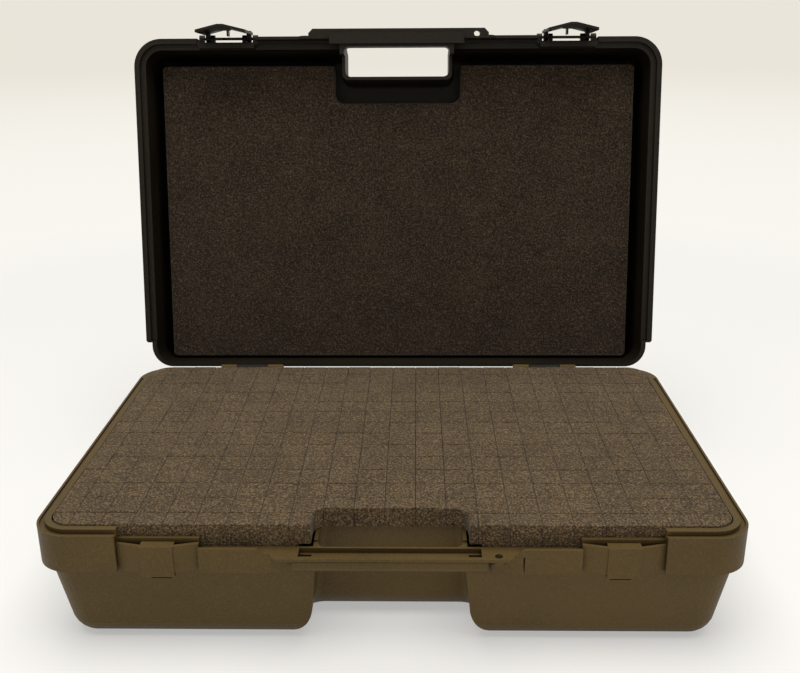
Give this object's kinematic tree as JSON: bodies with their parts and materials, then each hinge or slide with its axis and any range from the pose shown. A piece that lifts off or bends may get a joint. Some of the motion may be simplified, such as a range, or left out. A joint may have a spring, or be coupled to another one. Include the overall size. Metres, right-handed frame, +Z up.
{
  "type": "otoscope carry case",
  "caption": "Moulded carry case, lid open on its stop: pre-cut foam base, foam-lined lid, split carry handle, padlock eyes and snap latches.",
  "frame": {"origin": "centre of the base's flat underside, with X centred and Y centred between the front and rear faces of the rim", "axes": "+X along the width to the right as seen from the front, +Y from the handle to the hinges, +Z up"},
  "size_m": [0.456, 0.3931, 0.3829],
  "materials": {
    "shell_plastic": "fine moulded grain, satin",
    "foam": "open-cell foam, matt and speckled",
    "pin_steel": "drawn steel pin"
  },
  "bodies": {
    "base": {"base_shell": "shell_plastic", "cubed_foam": "foam", "foam_pad": "foam", "hinge_pin_left": "pin_steel", "hinge_pin_right": "pin_steel"},
    "lid": {"lid_shell": "shell_plastic", "lid_foam": "foam", "latch_pin_left": "pin_steel", "latch_pin_right": "pin_steel"},
    "latch_left": {"latch_left": "shell_plastic"},
    "latch_right": {"latch_right": "shell_plastic"}
  },
  "joints": [
    {"name": "lid_hinge", "type": "hinge", "parent": "base", "child": "lid", "pos_m": [0, 0.145, 0.0865], "axis": [1, 0, 0], "range_deg": [0, 100.6]},
    {"name": "latch_left_pivot", "type": "hinge", "parent": "lid", "child": "latch_left", "pos_m": [-0.1465, 0.20712, 0.3695], "axis": [-1, 0, 0], "range_deg": [-1.9, 90]},
    {"name": "latch_right_pivot", "type": "hinge", "parent": "lid", "child": "latch_right", "pos_m": [0.1465, 0.20712, 0.3695], "axis": [-1, 0, 0], "range_deg": [-1.9, 90]}
  ]
}
